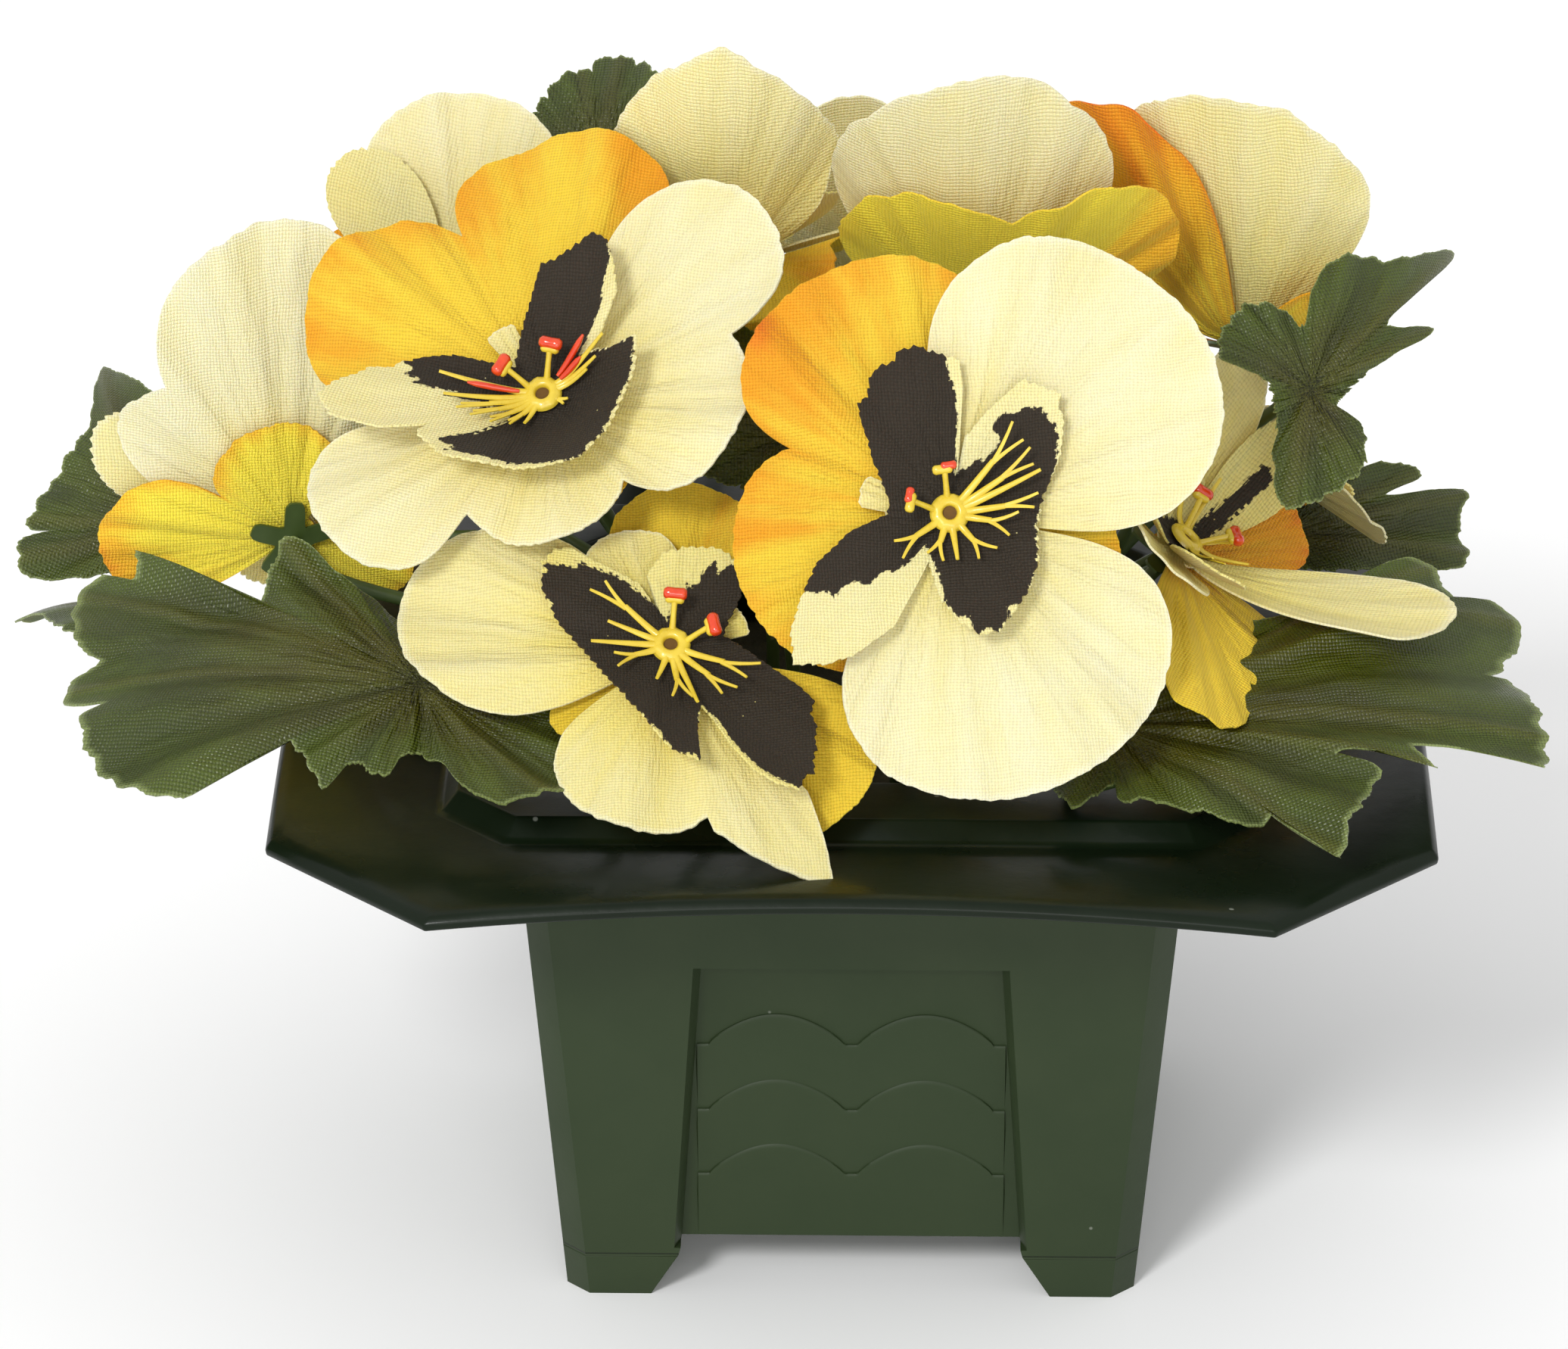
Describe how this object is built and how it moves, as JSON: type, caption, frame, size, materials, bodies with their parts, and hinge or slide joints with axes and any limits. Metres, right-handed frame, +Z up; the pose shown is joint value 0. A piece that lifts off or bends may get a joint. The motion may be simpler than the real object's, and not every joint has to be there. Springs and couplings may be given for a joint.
{
  "type": "artificial pansy planter",
  "caption": "Fabric pansies with lobed leaves standing in a square footed plastic pot with a wide cut-corner collar.",
  "frame": {"origin": "centre of the outline in plan, on the surface the feet stand on", "axes": "+Z up, -Y towards the viewer of the front, +X to the viewer's right"},
  "size_m": [0.2587, 0.1988, 0.1987],
  "materials": {
    "pot": "satin moulded",
    "collar": "glossy moulded",
    "fill": "rough foam",
    "back_petals": "woven, orange edges",
    "front_petals": "woven, black print at the middle",
    "stamens": "moulded, red tips",
    "stem": "moulded",
    "leaf": "woven, stiffened"
  },
  "bodies": {
    "root": {"pot": "pot", "collar": "collar", "fill": "fill", "bloom_a_back_petals": "back_petals", "bloom_a_front_petals": "front_petals", "bloom_a_stamens": "stamens", "bloom_a_stem": "stem", "bloom_b_back_petals": "back_petals", "bloom_b_front_petals": "front_petals", "bloom_b_stamens": "stamens", "bloom_b_stem": "stem", "bloom_c_back_petals": "back_petals", "bloom_c_front_petals": "front_petals", "bloom_c_stamens": "stamens", "bloom_c_stem": "stem", "bloom_d_back_petals": "back_petals", "bloom_d_front_petals": "front_petals", "bloom_d_stamens": "stamens", "bloom_d_stem": "stem", "bloom_e_back_petals": "back_petals", "bloom_e_front_petals": "front_petals", "bloom_e_stamens": "stamens", "bloom_e_stem": "stem", "bloom_f_back_petals": "back_petals", "bloom_f_front_petals": "front_petals", "bloom_f_stamens": "stamens", "bloom_f_stem": "stem", "bloom_g_back_petals": "back_petals", "bloom_g_front_petals": "front_petals", "bloom_g_stamens": "stamens", "bloom_g_stem": "stem", "bloom_h_back_petals": "back_petals", "bloom_h_front_petals": "front_petals", "bloom_h_stamens": "stamens", "bloom_h_stem": "stem", "bloom_i_back_petals": "back_petals", "bloom_i_front_petals": "front_petals", "bloom_i_stamens": "stamens", "bloom_i_stem": "stem", "bloom_j_back_petals": "back_petals", "bloom_j_front_petals": "front_petals", "bloom_j_stamens": "stamens", "bloom_j_stem": "stem", "bloom_k_back_petals": "back_petals", "bloom_k_front_petals": "front_petals", "bloom_k_stamens": "stamens", "bloom_k_stem": "stem", "bloom_l_back_petals": "back_petals", "bloom_l_front_petals": "front_petals", "bloom_l_stamens": "stamens", "bloom_l_stem": "stem", "leaf_front_left": "leaf", "leaf_front_right": "leaf", "leaf_right_high": "leaf", "leaf_right_mid": "leaf", "leaf_middle": "leaf", "leaf_left_high": "leaf", "leaf_left_low": "leaf", "leaf_top": "leaf", "leaf_back": "leaf"}
  },
  "joints": []
}
